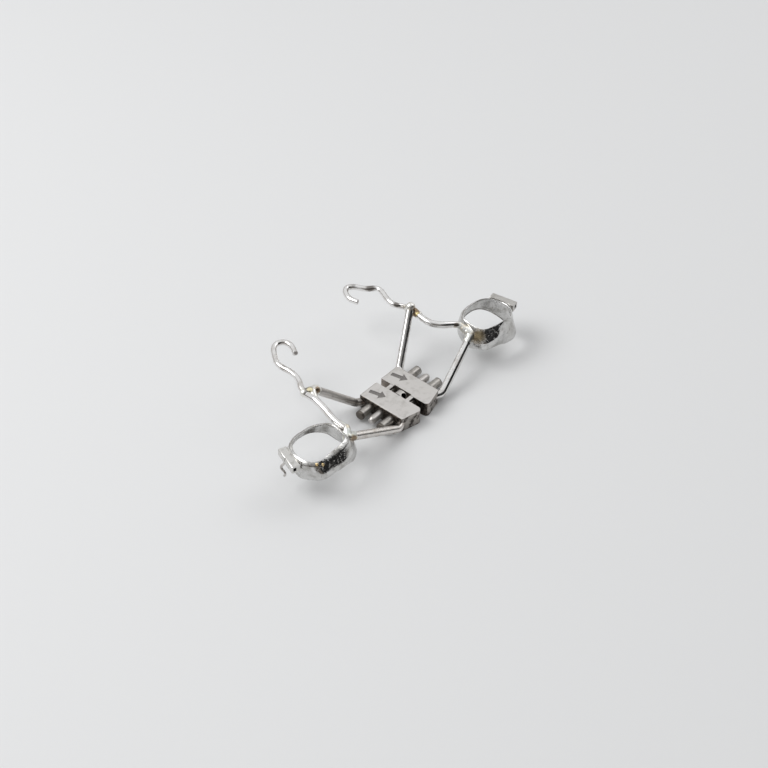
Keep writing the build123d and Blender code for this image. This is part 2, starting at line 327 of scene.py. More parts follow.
@dataclass(frozen=True)
class PolishedSteel:
    """Bright steel, polished by hand after soldering: faint waves, fine scratches, heat stains."""

    name: str
    colour: Colour = (0.84, 0.83, 0.82)
    shade: Colour = (0.66, 0.635, 0.61)
    roughness: float = 0.07
    spread: float = 0.12
    wave: float = 0.010
    scratch: float = 0.0009
    ripple: float = 0.0018
    scuff: float = 0.0
    stains: tuple[Stain, ...] = ()

    CLOUD = Grain(0.55, 4.0)
    FINE = Grain(4.5, 4.0)
    LINES = Grain(3.0, 2.0, (1.0, 9.0, 1.0))
    CROSS_LINES = Grain(2.6, 2.0, (9.0, 1.0, 2.0))
    SCUFFS = Grain(2.4, 3.0, (1.0, 1.0, 1.8))
    SHADE_EDGE = (0.42, 0.68)
    DULL_EDGE = (0.40, 0.75)
    SCUFF_EDGE = (0.56, 0.62)
    FINE_SHARE = 0.4
    STAIN_DULLING = 0.12

    def material(self) -> bpy.types.Material:
        """Makes the finish's material.

        Returns:
            The material.
        """
        recipe = Recipe(self.name)
        cloud, fine = recipe.grain(self.CLOUD), recipe.grain(self.FINE)
        lines, cross = recipe.grain(self.LINES), recipe.grain(self.CROSS_LINES)
        scuffs = recipe.grain(self.SCUFFS).between(*self.SCUFF_EDGE)
        colour = recipe.blend(cloud.between(*self.SHADE_EDGE), self.colour, self.shade)
        colour, stained = recipe.stained(colour, self.stains)
        dull = cloud.between(*self.DULL_EDGE) * self.spread + fine * (self.spread * self.FINE_SHARE)
        roughness = dull + self.roughness + stained * self.STAIN_DULLING + scuffs * self.scuff
        height = cloud * self.wave + (lines + cross) * self.scratch + fine * self.ripple
        return recipe.metal(height, colour, roughness)


@dataclass(frozen=True)
class SatinSteel:
    """Blasted and brushed steel: an even, light satin with a fine grain along one axis."""

    name: str
    colour: Colour = (0.66, 0.64, 0.62)
    shade: Colour = (0.50, 0.48, 0.455)
    roughness: float = 0.36
    spread: float = 0.14
    relief: float = 0.0012
    stretch: tuple[float, float, float] = (1.0, 0.12, 1.0)
    stains: tuple[Stain, ...] = ()

    CLOUD = Grain(0.8, 5.0)
    BLAST = Grain(14.0, 2.0)
    BRUSH_PER_MM = 16.0
    PITS_PER_MM = 3.1
    SHADE_EDGE = (0.45, 0.75)
    PIT_EDGE = (0.16, 0.08)
    CLOUD_SHARE = 0.8
    PIT_SHARE = 0.2
    BRUSH_SHARE = 0.6
    PIT_DEPTH_SHARE = 1.5

    def material(self) -> bpy.types.Material:
        """Makes the finish's material.

        Returns:
            The material.
        """
        recipe = Recipe(self.name)
        cloud, blast = recipe.grain(self.CLOUD), recipe.grain(self.BLAST)
        brushed = recipe.grain(Grain(self.BRUSH_PER_MM, stretch=self.stretch))
        pits = recipe.cells(self.PITS_PER_MM).between(*self.PIT_EDGE)
        worn = cloud.between(*self.SHADE_EDGE) * self.CLOUD_SHARE + pits * self.PIT_SHARE
        colour, _ = recipe.stained(recipe.blend(worn, self.colour, self.shade), self.stains)
        roughness = cloud * self.spread + brushed * (self.spread * self.BRUSH_SHARE) + self.roughness
        height = (brushed + blast) * self.relief - pits * (self.relief * self.PIT_DEPTH_SHARE)
        return recipe.metal(height, colour, roughness)


@dataclass(frozen=True)
class EngravedSteel:
    """The matt floor of an engraved mark, dark and cross-hatched by the tool."""

    name: str
    colour: Colour = (0.29, 0.275, 0.265)
    shade: Colour = (0.20, 0.19, 0.18)
    roughness: float = 0.45
    spread: float = 0.25
    pitch: float = 0.09
    depth: float = 0.006

    MOTTLE = Grain(5.0, 4.0)
    SHADE_EDGE = (0.35, 0.7)

    def material(self) -> bpy.types.Material:
        """Makes the finish's material.

        Returns:
            The material.
        """
        recipe = Recipe(self.name)
        across, along, _ = recipe.parts(recipe.place())
        hatch = ((across + along) * (2 * math.pi / self.pitch)).sine() + NOISE_MIDDLE
        mottle = recipe.grain(self.MOTTLE)
        colour = recipe.blend(mottle.between(*self.SHADE_EDGE), self.colour, self.shade)
        height = hatch * self.depth + mottle * self.depth
        return recipe.metal(height, colour, mottle * self.spread + self.roughness)


@dataclass(frozen=True)
class RawSteel:
    """Steel as the saw and the drill left it: brown-grey, with rough dark patches; on the housings' walls,
    in their gap and in the drum's key holes it is darkened further as painted shade.
    """

    name: str
    colour: Colour = (0.30, 0.265, 0.235)
    shade: Colour = (0.035, 0.03, 0.026)
    dark_share: float = 0.4
    per_mm: float = 1.9
    depth: float = 0.018
    roughness: float = 0.38
    spread: float = 0.2

    SAW = Grain(4.0, 3.0, (0.3, 0.3, 3.0))
    PATCH_DETAIL = 5.0
    PATCH_SHARE = 0.75
    SAW_SHARE = 0.25
    SAW_DEPTH_SHARE = 0.3
    DARK_EDGE = 0.70
    DARK_RANGE = 0.36
    DARK_BLUR = 0.07

    def material(self) -> bpy.types.Material:
        """Makes the finish's material.

        Returns:
            The material.
        """
        recipe = Recipe(self.name)
        patch = recipe.grain(Grain(self.per_mm, self.PATCH_DETAIL))
        saw = recipe.grain(self.SAW)
        edge = self.DARK_EDGE - self.DARK_RANGE * self.dark_share
        rough = patch * self.PATCH_SHARE + saw * self.SAW_SHARE
        dark = rough.between(edge - self.DARK_BLUR, edge + self.DARK_BLUR)
        colour = recipe.blend(dark, self.colour, self.shade)
        height = patch * self.depth + saw * (self.depth * self.SAW_DEPTH_SHARE)
        return recipe.metal(height, colour, saw * self.spread + self.roughness)


@dataclass(frozen=True)
class TurnedSteel:
    """A turned pin: fine rings round its axis, and a duller, darker face at each end."""

    name: str
    axis_y: float
    end_x: float = 8.0
    colour: Colour = (0.45, 0.43, 0.405)
    face: Colour = (0.15, 0.135, 0.12)
    roughness: float = 0.27
    spread: float = 0.18
    pitch: float = 0.11
    depth: float = 0.0012

    CLOUD = Grain(1.2, 4.0)
    WEAR_EDGE = (0.4, 0.75)
    WEAR_SHARE = 0.5
    FACE_MARGIN = (0.30, 0.16)
    FACE_DULLING = 0.12
    FACE_DEPTH_SHARE = 2.0
    RING_WANDER = 5.0

    def material(self) -> bpy.types.Material:
        """Makes the finish's material.

        Returns:
            The material.
        """
        recipe = Recipe(self.name)
        along, across, up = recipe.parts(recipe.place())
        off = across - self.axis_y
        radius = (off * off + up * up).math("SQRT")
        turns = 2 * math.pi / self.pitch
        cloud = recipe.grain(self.CLOUD)
        at_end = along.math("ABSOLUTE").between(*(self.end_x - margin for margin in self.FACE_MARGIN))
        rings = (along * turns + cloud * self.RING_WANDER).sine()
        facing = (radius * turns).sine()
        ripple = rings * (1 - at_end) + facing * at_end * self.FACE_DEPTH_SHARE
        worn = recipe.blend(cloud.between(*self.WEAR_EDGE) * self.WEAR_SHARE, self.colour, self.face)
        colour = recipe.blend(at_end, worn, self.face)
        roughness = cloud * self.spread + at_end * self.FACE_DULLING + self.roughness
        return recipe.metal(ripple * self.depth, colour, roughness)


@dataclass(frozen=True)
class SilverSolder:
    """Solder left from the torch: silver-grey, with stains of gold and brown where the flux stayed."""

    name: str
    colour: Colour = (0.82, 0.81, 0.77)
    warm: Colour = (0.70, 0.64, 0.52)
    warm_share: float = 0.3
    roughness: float = 0.17
    lump: float = 0.02
    stains: tuple[Stain, ...] = ()

    CLOUD = Grain(0.9, 4.0)
    FINE = Grain(5.0, 4.0)
    WARM_EDGE = 0.66
    WARM_RANGE = 0.32
    WARM_BLUR = 0.08
    CLOUD_DULLING = 0.2
    FINE_DULLING = 0.12
    FINE_LUMP_SHARE = 0.15
    STAIN_CORE_SHARE = 0.6

    def material(self) -> bpy.types.Material:
        """Makes the finish's material.

        Returns:
            The material.
        """
        recipe = Recipe(self.name)
        cloud, fine = recipe.grain(self.CLOUD), recipe.grain(self.FINE)
        edge = self.WARM_EDGE - self.WARM_RANGE * self.warm_share
        warmth = cloud.between(edge - self.WARM_BLUR, edge + self.WARM_BLUR)
        colour = recipe.blend(warmth, self.colour, self.warm)
        colour, _ = recipe.stained(colour, self.stains, self.STAIN_CORE_SHARE)
        roughness = cloud * self.CLOUD_DULLING + fine * self.FINE_DULLING + self.roughness
        height = cloud * self.lump + fine * (self.lump * self.FINE_LUMP_SHARE)
        return recipe.metal(height, colour, roughness)


# Mesh work

# How near to each other, in millimetres, vertices are merged
WELD_GAP = 0.0008


class Workpiece:
    """A bmesh in millimetres on its way to becoming a finished piece."""

    def __init__(self) -> None:
        """Starts empty."""
        self.mesh = bmesh.new()

    @classmethod
    def of_node(cls, node: str) -> "Workpiece":
        """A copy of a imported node, with its flat faces whole again.

        Args:
            node: the node's name.

        Returns:
            The copy as a workpiece.
        """
        work = cls()
        work.mesh.from_mesh(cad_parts[node].data)
        work.scale(1 / MM)
        work.weld()
        work.flatten()
        return work

    @classmethod
    def of_curve(cls, curve: bpy.types.Curve) -> "Workpiece":
        """The mesh of a curve.

        Args:
            curve: a curve that was drawn in millimetres.

        Returns:
            Its mesh as a workpiece.
        """
        holder = bpy.data.objects.new("drawn_curve", curve)
        mesh = bpy.data.meshes.new_from_object(holder)
        work = cls()
        work.mesh.from_mesh(mesh)
        bpy.data.objects.remove(holder)
        bpy.data.meshes.remove(mesh)
        work.weld()
        return work

    def scale(self, factor: float) -> None:
        """Scales the whole mesh about the origin."""
        bmesh.ops.scale(self.mesh, vec=(factor,) * 3, verts=self.mesh.verts)

    def weld(self) -> None:
        """Merges the vertices that lie on each other."""
        bmesh.ops.remove_doubles(self.mesh, verts=self.mesh.verts, dist=WELD_GAP)

    def flatten(self, degrees: float = 0.5) -> None:
        """Joins neighbouring faces that lie in one plane, within an angle."""
        limit = math.radians(degrees)
        bmesh.ops.dissolve_limit(self.mesh, angle_limit=limit, verts=self.mesh.verts, edges=self.mesh.edges)

    def corners(self, degrees: float) -> list[bmesh.types.BMEdge]:
        """The edges that turn by more than an angle."""
        limit = math.radians(degrees)
        return [e for e in self.mesh.edges if len(e.link_faces) == 2 and e.calc_face_angle(0.0) > limit]

    def soften(self, width: float, degrees: float, segments: int = 2) -> None:
        """Rounds the edges that turn by more than an angle.

        Args:
            width: how far the rounding reaches from an edge.
            degrees: the angle.
            segments: the faces across the rounding.
        """
        bmesh.ops.bevel(
            self.mesh,
            geom=self.corners(degrees),
            offset=width,
            offset_type="OFFSET",
            affect="EDGES",
            segments=segments,
            profile=0.5,
            material=-1,
            clamp_overlap=True,
        )

    def dent(self, depth: float, per_mm: float, seed: float) -> None:
        """Moves the surface in and out by a little, as handwork leaves it.

        Args:
            depth: how far it moves at most.
            per_mm: the dents to a millimetre.
            seed: a number that gives each piece its own dents.
        """
        self.mesh.normal_update()
        shift = Vector((seed, -seed, seed * 0.5))
        moves = [(v, v.normal * depth * noise.noise(v.co * per_mm + shift)) for v in self.mesh.verts]
        for vert, move in moves:
            vert.co += move

    def face_outwards(self) -> None:
        """Turns an open wall's faces away from its middle line."""
        bmesh.ops.recalc_face_normals(self.mesh, faces=self.mesh.faces)
        self.mesh.normal_update()
        balance = 0.0
        for face in self.mesh.faces:
            centre = face.calc_center_median()
            balance += face.normal.x * centre.x + face.normal.y * centre.y
        if balance < 0:
            bmesh.ops.reverse_faces(self.mesh, faces=self.mesh.faces)

    def add_loop(self, points: Sequence[Vector]) -> list[bmesh.types.BMEdge]:
        """Adds a closed loop of edges through the points."""
        verts = [self.mesh.verts.new(point) for point in points]
        return [self.mesh.edges.new(pair) for pair in zip(verts, verts[1:] + verts[:1])]

    def melt(self, voxel: float, passes: int = 8) -> None:
        """Melts the overlapping solids of the mesh into one smooth skin.

        Args:
            voxel: the size of the melted skin's faces.
            passes: how often the skin is smoothed.
        """
        solid = bpy.data.meshes.new("solid")
        self.mesh.to_mesh(solid)
        holder = bpy.data.objects.new("melted", solid)
        bpy.context.scene.collection.objects.link(holder)
        remesh = holder.modifiers.new("skin", "REMESH")
        remesh.mode = "VOXEL"
        remesh.voxel_size = voxel
        smooth = holder.modifiers.new("flow", "SMOOTH")
        smooth.factor = 0.5
        smooth.iterations = passes
        graph = bpy.context.evaluated_depsgraph_get()
        melted = bpy.data.meshes.new_from_object(holder.evaluated_get(graph))
        self.mesh.clear()
        self.mesh.from_mesh(melted)
        bpy.data.objects.remove(holder)
        bpy.data.meshes.remove(solid)
        bpy.data.meshes.remove(melted)

    def paint(self, rule: FaceRule) -> None:
        """Gives each face its finish.

        Args:
            rule: picks the finish's index from the face's centre and normal.
        """
        self.mesh.normal_update()
        for face in self.mesh.faces:
            face.material_index = rule(face.calc_center_median(), face.normal)

    def finish(
        self,
        node: str,
        body: str,
        slot: Slot,
        finishes: Sequence[bpy.types.Material],
        sharp: float = 32.0,
    ) -> None:
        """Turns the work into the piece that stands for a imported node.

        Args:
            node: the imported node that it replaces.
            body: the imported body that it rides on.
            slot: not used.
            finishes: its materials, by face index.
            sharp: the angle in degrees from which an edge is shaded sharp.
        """
        name = node + "_dressed"
        self.mesh.normal_update()
        for face in self.mesh.faces:
            face.smooth = True
        for edge in self.mesh.edges:
            edge.smooth = True
        for edge in self.corners(sharp):
            edge.smooth = False
        self.scale(MM)
        data = bpy.data.meshes.new(name)
        self.mesh.to_mesh(data)
        self.mesh.free()
        piece = bpy.data.objects.new(name, data)
        bpy.context.scene.collection.objects.link(piece)
        for finish in finishes:
            data.materials.append(finish)
        shading = piece.modifiers.new("even_shading", "WEIGHTED_NORMAL")
        shading.keep_sharp = True
        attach(piece, body)
        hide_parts(node)
        LOG.info("%s: %d faces, rides on %s", name, len(data.polygons), body)


ROD_ORDER = 3
ROD_ROUND_STEPS = 12
ROD_END_ROUND_SHARE = 0.10
ROD_SHARP = 70.0


def bent_rod(
    points: Sequence[Vector],
    diameter: float,
    steps: int = 10,
    swell: Sequence[float] = (),
) -> Workpiece:
    """A round rod along a smooth line, with rounded cut ends.

    Args:
        points: the line's control points in millimetres.
        diameter: the rod's diameter.
        steps: the steps from each control point to the next.
        swell: the share of the diameter at each of the last control points, where it isn't 1.

    Returns:
        The rod's workpiece.
    """
    curve = bpy.data.curves.new("rod_line", "CURVE")
    curve.dimensions = "3D"
    line = curve.splines.new("NURBS")
    line.points.add(len(points) - 1)
    swells = [1.0] * (len(points) - len(swell)) + list(swell)
    for knot, point, share in zip(line.points, points, swells):
        knot.co = (*point, 1.0)
        knot.radius = share
    line.order_u = ROD_ORDER
    line.use_endpoint_u = True
    line.resolution_u = steps
    curve.bevel_depth = diameter / 2
    curve.bevel_resolution = ROD_ROUND_STEPS
    curve.use_fill_caps = True
    work = Workpiece.of_curve(curve)
    bpy.data.curves.remove(curve)
    work.soften(diameter * ROD_END_ROUND_SHARE, degrees=50.0, segments=3)
    return work


def turned_on_x(outline: Sequence[tuple[float, float]], offset_y: float, steps: int = 64) -> Workpiece:
    """A piece turned about an axis along X.

    Args:
        outline: its half outline as (X, radius) pairs, from end to end.
        offset_y: how far the axis stands from the XZ plane.
        steps: the steps of the full turn.

    Returns:
        The turned workpiece.
    """
    work = Workpiece()
    verts = [work.mesh.verts.new((x, offset_y, radius)) for x, radius in outline]
    edges = [work.mesh.edges.new(pair) for pair in zip(verts, verts[1:])]
    bmesh.ops.spin(
        work.mesh,
        geom=verts + edges,
        cent=(0, offset_y, 0),
        axis=(1, 0, 0),
        angle=2 * math.pi,
        steps=steps,
        use_merge=True,
    )
    work.weld()
    bmesh.ops.recalc_face_normals(work.mesh, faces=work.mesh.faces)
    return work


# The shared arch


@dataclass(frozen=True)
class Arch:
    """The sizes that the wires, arms and bands share, in millimetres."""

    half_width: float = 22.7
    hook_reach: float = 20.0
    hook_level: float = 7.1
    wire_diameter: float = 1.05
    arm_diameter: float = 1.5

    def spot(self, side: Side, shares: Sequence[float]) -> Vector:
        """A place from shares of the half width, the hook's reach and the hook's level."""
        out, forward, up = shares
        return Vector((side.value * out * self.half_width, forward * self.hook_reach, up * self.hook_level))


ARCH = Arch()

# The wires' routes from the hook's tip to the band, as shares of the arch's sizes
WIRE_SHARES = {
    Side.RIGHT: [
        (0.414, 0.813, 1.0),
        (0.374, 0.875, 1.0),
        (0.358, 0.950, 1.0),
        (0.381, 1.003, 1.0),
        (0.427, 1.023, 1.0),
        (0.478, 1.003, 1.0),
        (0.522, 0.950, 1.0),
        (0.562, 0.892, 1.0),
        (0.593, 0.835, 1.0),
        (0.599, 0.765, 1.0),
        (0.591, 0.700, 1.0),
        (0.600, 0.610, 1.0),
        (0.630, 0.538, 1.0),
        (0.672, 0.480, 1.0),
        (0.691, 0.420, 0.965),
        (0.683, 0.360, 0.930),
        (0.676, 0.300, 0.901),
        (0.694, 0.200, 0.873),
        (0.718, 0.100, 0.850),
        (0.735, 0.020, 0.830),
        (0.732, -0.085, 0.799),
    ],
    Side.LEFT: [
        (0.377, 0.863, 1.0),
        (0.364, 0.920, 1.0),
        (0.370, 0.980, 1.0),
        (0.404, 1.044, 1.0),
        (0.447, 1.075, 1.0),
        (0.489, 1.057, 1.0),
        (0.516, 1.007, 1.0),
        (0.531, 0.965, 1.0),
        (0.558, 0.918, 1.0),
        (0.597, 0.884, 1.0),
        (0.617, 0.843, 1.0),
        (0.601, 0.785, 1.0),
        (0.567, 0.712, 1.0),
        (0.550, 0.650, 1.0),
        (0.546, 0.602, 0.995),
        (0.562, 0.566, 0.975),
        (0.597, 0.536, 0.930),
        (0.617, 0.495, 0.901),
        (0.615, 0.438, 0.901),
        (0.604, 0.375, 0.901),
        (0.594, 0.310, 0.903),
        (0.588, 0.232, 0.898),
        (0.610, 0.175, 0.880),
        (0.653, 0.121, 0.859),
        (0.706, 0.080, 0.834),
        (0.768, 0.030, 0.799),
    ],
}


# The screw


class HousingFace(IntEnum):
    """The finishes of a housing's faces."""

    SATIN = 0
    ENGRAVED = 1
    # Sawn steel darkened as painted shade, on the walls and in the rear of the gap
    SAWN_PAINTED_SHADE = 2
    GROUND = 3
    # Milled steel darkened as painted shade for the front of the gap; it also covers the front ends
    MILLED_PAINTED_SHADE = 4


@dataclass
class Screw:
    """The expansion screw: two housings, two guide pins and the spindle with its drum."""

    half_height: float = 1.45
    arrow_depth: float = 0.06
    edge_round: float = 0.045
    pin_offset: float = 2.35
    pin_radius: float = 0.85
    pin_ends: tuple[float, float] = (-8.2825, 8.0175)
    pin_chamfer: float = 0.15
    drum_radius: float = 1.4
    drum_half: float = 0.7325
    gap_half: float = 0.9

    # How far in and how far down the points of a chamfer lie, as shares of its size
    CHAMFER_SHARES = ((0.0, 1.0), (0.35, 0.35), (1.0, 0.0))
    LEVEL_NORMAL = 0.93
    END_NORMAL = 0.6
    INNER_SHARE = 0.97

    def __post_init__(self) -> None:
        """Mixes the screw's finishes."""
        self.housing_finishes = {
            HousingFace.SATIN: SatinSteel("housing_satin_steel"),
            HousingFace.ENGRAVED: EngravedSteel("engraved_arrow_steel"),
            # Painted shade: near-black sawn steel on the walls and in the rear of the gap, where shade
            # falls.
            HousingFace.SAWN_PAINTED_SHADE: RawSteel("housing_sawn_painted_shade_steel", (0.13, 0.11, 0.095), dark_share=0.6),
            HousingFace.GROUND: RawSteel(
                "housing_ground_steel", (0.48, 0.45, 0.42), (0.07, 0.06, 0.055), dark_share=0.5, per_mm=1.1
            ),
            # Painted shade: the milled steel is darkened for the shade in the front of the gap; it also
            # covers the front ends.
            HousingFace.MILLED_PAINTED_SHADE: RawSteel("housing_milled_painted_shade_steel", (0.34, 0.30, 0.27), dark_share=0.2),
        }
        self.drum_finishes = [
            SatinSteel("drum_satin_steel", (0.55, 0.53, 0.51), stretch=(0.15, 1.0, 1.0), roughness=0.3),
            # Painted shade: the key holes' bores are near black for the shade inside them.
            RawSteel("drum_bore_painted_shade_steel", (0.05, 0.045, 0.04), dark_share=0.6),
        ]

    def housing_face(self, centre: Vector, normal: Vector) -> int:
        """Picks a housing's finish: satin above and below, ground at its rear ends; its walls and the rear
        of the gap get the sawn finish, darkened as painted shade, and its front ends and the front of the
        gap the milled one, darkened as painted shade for the gap.

        Args:
            centre: the face's centre.
            normal: the face's normal.

        Returns:
            The finish's index.
        """
        if abs(normal.z) > self.LEVEL_NORMAL:
            floor = self.half_height - self.arrow_depth
            engraved = normal.z > 0 and abs(centre.z - floor) < self.arrow_depth / 2
            return HousingFace.ENGRAVED if engraved else HousingFace.SATIN
        if centre.y < 0:
            ground = normal.y < -self.END_NORMAL and abs(centre.x) > self.gap_half
            return HousingFace.GROUND if ground else HousingFace.SAWN_PAINTED_SHADE
        milled = normal.y > self.END_NORMAL or abs(centre.x) < self.gap_half
        return HousingFace.MILLED_PAINTED_SHADE if milled else HousingFace.SAWN_PAINTED_SHADE

    def drum_face(self, centre: Vector, normal: Vector) -> int:
        """Picks the finish inside the drum's key holes, painted near black as the shade in them."""
        inside = math.hypot(centre.y, centre.z) < self.drum_radius * self.INNER_SHARE
        return int(inside and abs(centre.x) < self.drum_half * self.INNER_SHARE)

    def build_housings(self) -> None:
        """Dresses both halves of the screw's body, in the same finishes."""
        finishes = [finish.material() for finish in self.housing_finishes.values()]
        for side in Side:
            work = Workpiece.of_node(side.prefix + "_housing")
            work.paint(self.housing_face)
            work.soften(self.edge_round, degrees=30.0)
            work.finish(side.prefix + "_housing", side.body, Slot.HOUSING, finishes)

    def pin_outline(self) -> list[tuple[float, float]]:
        """A guide pin's half outline.

        Returns:
            Its (X, radius) pairs from end to end, with rounded chamfers.
        """
        low, high = self.pin_ends
        size, radius = self.pin_chamfer, self.pin_radius
        chamfer = [(size * inwards, radius - size * lower) for inwards, lower in self.CHAMFER_SHARES]
        near = [(low, 0.0)] + [(low + inwards, up) for inwards, up in chamfer]
        far = [(high, 0.0)] + [(high - inwards, up) for inwards, up in chamfer]
        return near + far[::-1]

    def build_pin(self, end: End) -> None:
        """Turns one guide pin on its axis.

        Args:
            end: the end of the screw that the pin is nearer to.
        """
        offset = end.value * self.pin_offset
        steel = TurnedSteel(end.word + "_pin_turned_steel", offset).material()
        work = turned_on_x(self.pin_outline(), offset)
        work.finish(end.word + "_guide_pin", "guide_pins", Slot.PIN, [steel], sharp=60.0)

    def build_spindle(self) -> None:
        """Dresses the spindle and its drilled drum."""
        work = Workpiece.of_node("spindle")
        work.paint(self.drum_face)
        work.soften(self.edge_round, degrees=30.0)
        finishes = [finish.material() for finish in self.drum_finishes]
        work.finish("spindle", "spindle", Slot.PIN, finishes)

    def build(self) -> None:
        """Builds every piece of the screw."""
        self.build_housings()
        for end in End:
            self.build_pin(end)
        self.build_spindle()


# Arms and wires


@dataclass
class Framework:
    """One side's arms and palatal wire."""

    side: Side
    root_out: float
    tips: dict[End, Vector]
    stains: tuple[Stain, ...]
    front_arm: SatinSteel | PolishedSteel
    rear_arm: PolishedSteel | None = None
    root_forward: float = 4.15
    reach: float = 1.6
    bend_room: float = 1.25
    angles: tuple[float, float] = (30.0, 24.0)
    arm_steps: int = 16
    wire_steps: int = 12
    wire_swell_shares: tuple[float, ...] = (1.06, 1.12, 1.16, 1.2, 1.22, 1.2, 1.12, 1.05)
    wire_dent: float = 0.018
    wire_dents_per_mm: float = 0.9
    wire_seed: float = 3.0

    def arm_route(self, end: End) -> list[Vector]:
        """The control points of an arm, close together at its elbow.

        Args:
            end: the arm's end of the screw.

        Returns:
            The points from the arm's root in the housing to its tip.
        """
        angle = math.radians(self.angles[0] if end is End.FRONT else self.angles[1])
        root = Vector((self.side.value * self.root_out, end.value * self.root_forward, 0.0))
        way = Vector((self.side.value * math.cos(angle), end.value * math.sin(angle), 0.0))
        elbow = root + way * self.reach
        leg = (self.tips[end] - elbow).normalized()
        return [root, elbow - way * self.bend_room, elbow, elbow + leg * self.bend_room, self.tips[end]]

    def way_back(self, end: End) -> Vector:
        """The direction from an arm's tip back along its straight leg."""
        return (self.arm_route(end)[-2] - self.tips[end]).normalized()

    def build(self) -> None:
        """Bends the arms and the wire."""
        prefix, body = self.side.prefix, self.side.body
        steel = PolishedSteel(prefix + "_wire_polished_steel", stains=self.stains).material()
        rear = self.rear_arm.material() if self.rear_arm else steel
        for end, finish in ((End.FRONT, self.front_arm.material()), (End.REAR, rear)):
            work = bent_rod(self.arm_route(end), ARCH.arm_diameter, self.arm_steps)
            work.finish(f"{prefix}_{end.word}_arm", body, Slot.WIRE, [finish], ROD_SHARP)
        route = [ARCH.spot(self.side, shares) for shares in WIRE_SHARES[self.side]]
        work = bent_rod(route, ARCH.wire_diameter, self.wire_steps, self.wire_swell_shares)
        work.dent(self.wire_dent, self.wire_dents_per_mm, self.side.value * self.wire_seed)
        work.finish(prefix + "_palatal_wire", body, Slot.WIRE, [steel], ROD_SHARP)


# Bands


